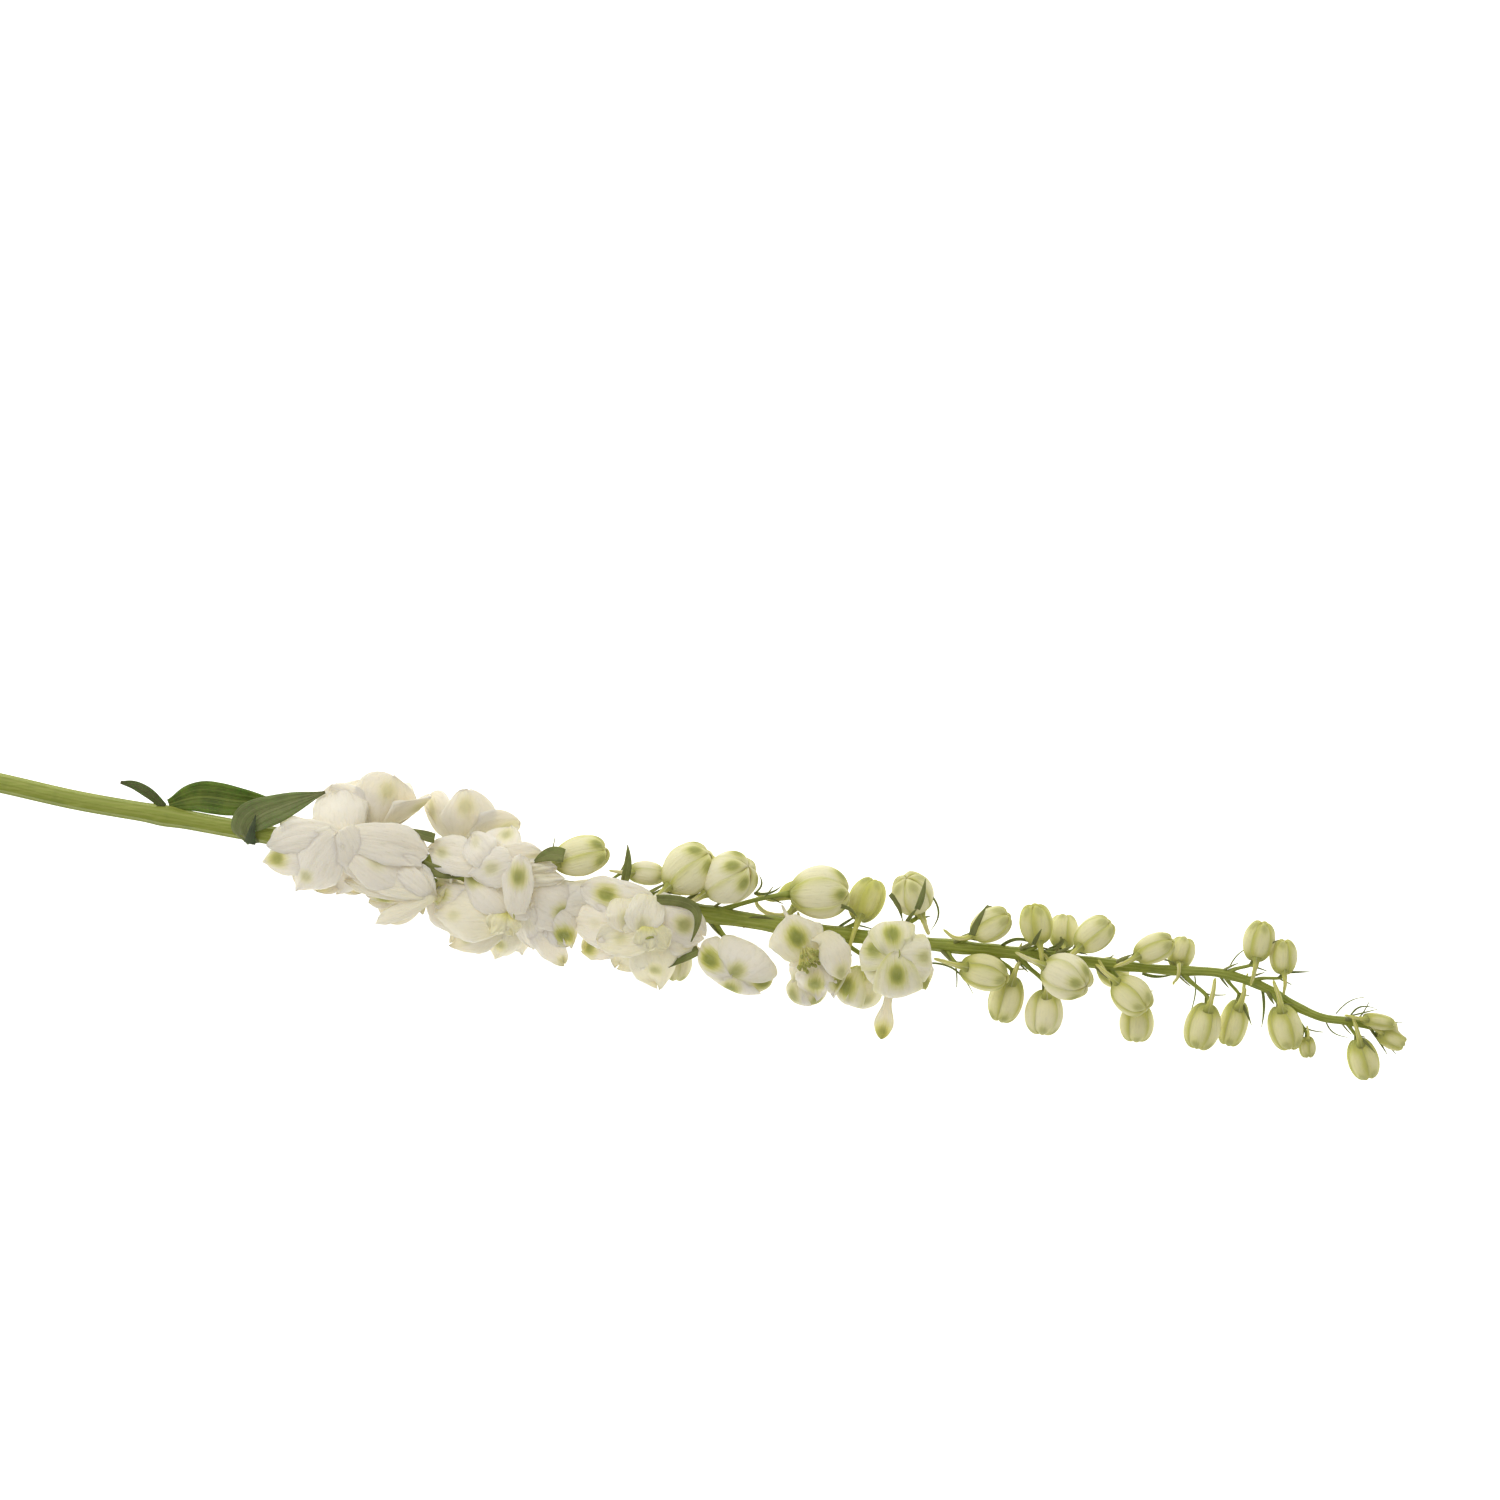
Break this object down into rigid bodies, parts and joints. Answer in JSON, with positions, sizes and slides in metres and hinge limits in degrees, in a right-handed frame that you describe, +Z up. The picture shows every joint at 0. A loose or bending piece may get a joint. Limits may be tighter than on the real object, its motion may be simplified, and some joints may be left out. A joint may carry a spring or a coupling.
{
  "type": "delphinium flower spike",
  "caption": "Cut spike of white double delphinium lying on its side: ribbed stem, leaves, open blooms, half-open flowers and green-tipped buds up to the tip",
  "frame": {"origin": "middle of the underside of the whole spike, on the surface it lies on", "axes": "+X runs along the spike from the cut end to the tip, +Z is up, +Y is across the spike"},
  "size_m": [0.6484, 0.1356, 0.06],
  "materials": {
    "stem_green": "smooth fresh plant stem",
    "leaf_dark": "matte fresh leaf",
    "leaf_bright": "satin fresh leaf",
    "leaf_grey": "matte fresh leaf with a grey bloom",
    "petal_white": "silky petal, slightly see-through",
    "petal_opening": "silky petal with green spots",
    "bud_green": "smooth bud, pale green"
  },
  "bodies": {
    "root": {"stem": "stem_green", "leaf_small": "leaf_dark", "leaf_broad": "leaf_bright", "leaf_folded": "leaf_grey", "half_open_06": "petal_opening", "bud_05": "bud_green", "bud_03": "bud_green", "half_open_02": "petal_opening", "bud_15": "bud_green", "bud_01": "bud_green", "bud_08": "bud_green", "bud_06": "bud_green", "bud_10": "bud_green", "bud_19": "bud_green", "bud_17": "bud_green", "bud_20": "bud_green", "bud_09": "bud_green", "bud_12": "bud_green", "bud_02": "bud_green", "bud_25": "bud_green", "bud_26": "bud_green", "bud_30": "bud_green", "bud_07": "bud_green", "bud_27": "bud_green", "bud_23": "bud_green", "bud_28": "bud_green", "half_open_05": "petal_opening", "bud_04": "bud_green", "bud_29": "bud_green", "bud_31": "bud_green", "bud_13": "bud_green", "bud_11": "bud_green", "half_open_04": "petal_opening", "half_open_01": "petal_opening", "bud_22": "bud_green", "bud_16": "bud_green", "bud_21": "bud_green", "half_open_03": "petal_opening", "bud_24": "bud_green", "bud_18": "bud_green", "bud_14": "bud_green", "bloom_08": "petal_white", "bloom_11": "petal_white", "bloom_12": "petal_white", "bloom_09": "petal_white", "bloom_10": "petal_white", "bloom_02": "petal_white", "bloom_05": "petal_white", "bloom_04": "petal_white", "bloom_03": "petal_white", "bloom_06": "petal_white", "bloom_01": "petal_white", "bloom_07": "petal_white"}
  },
  "joints": []
}
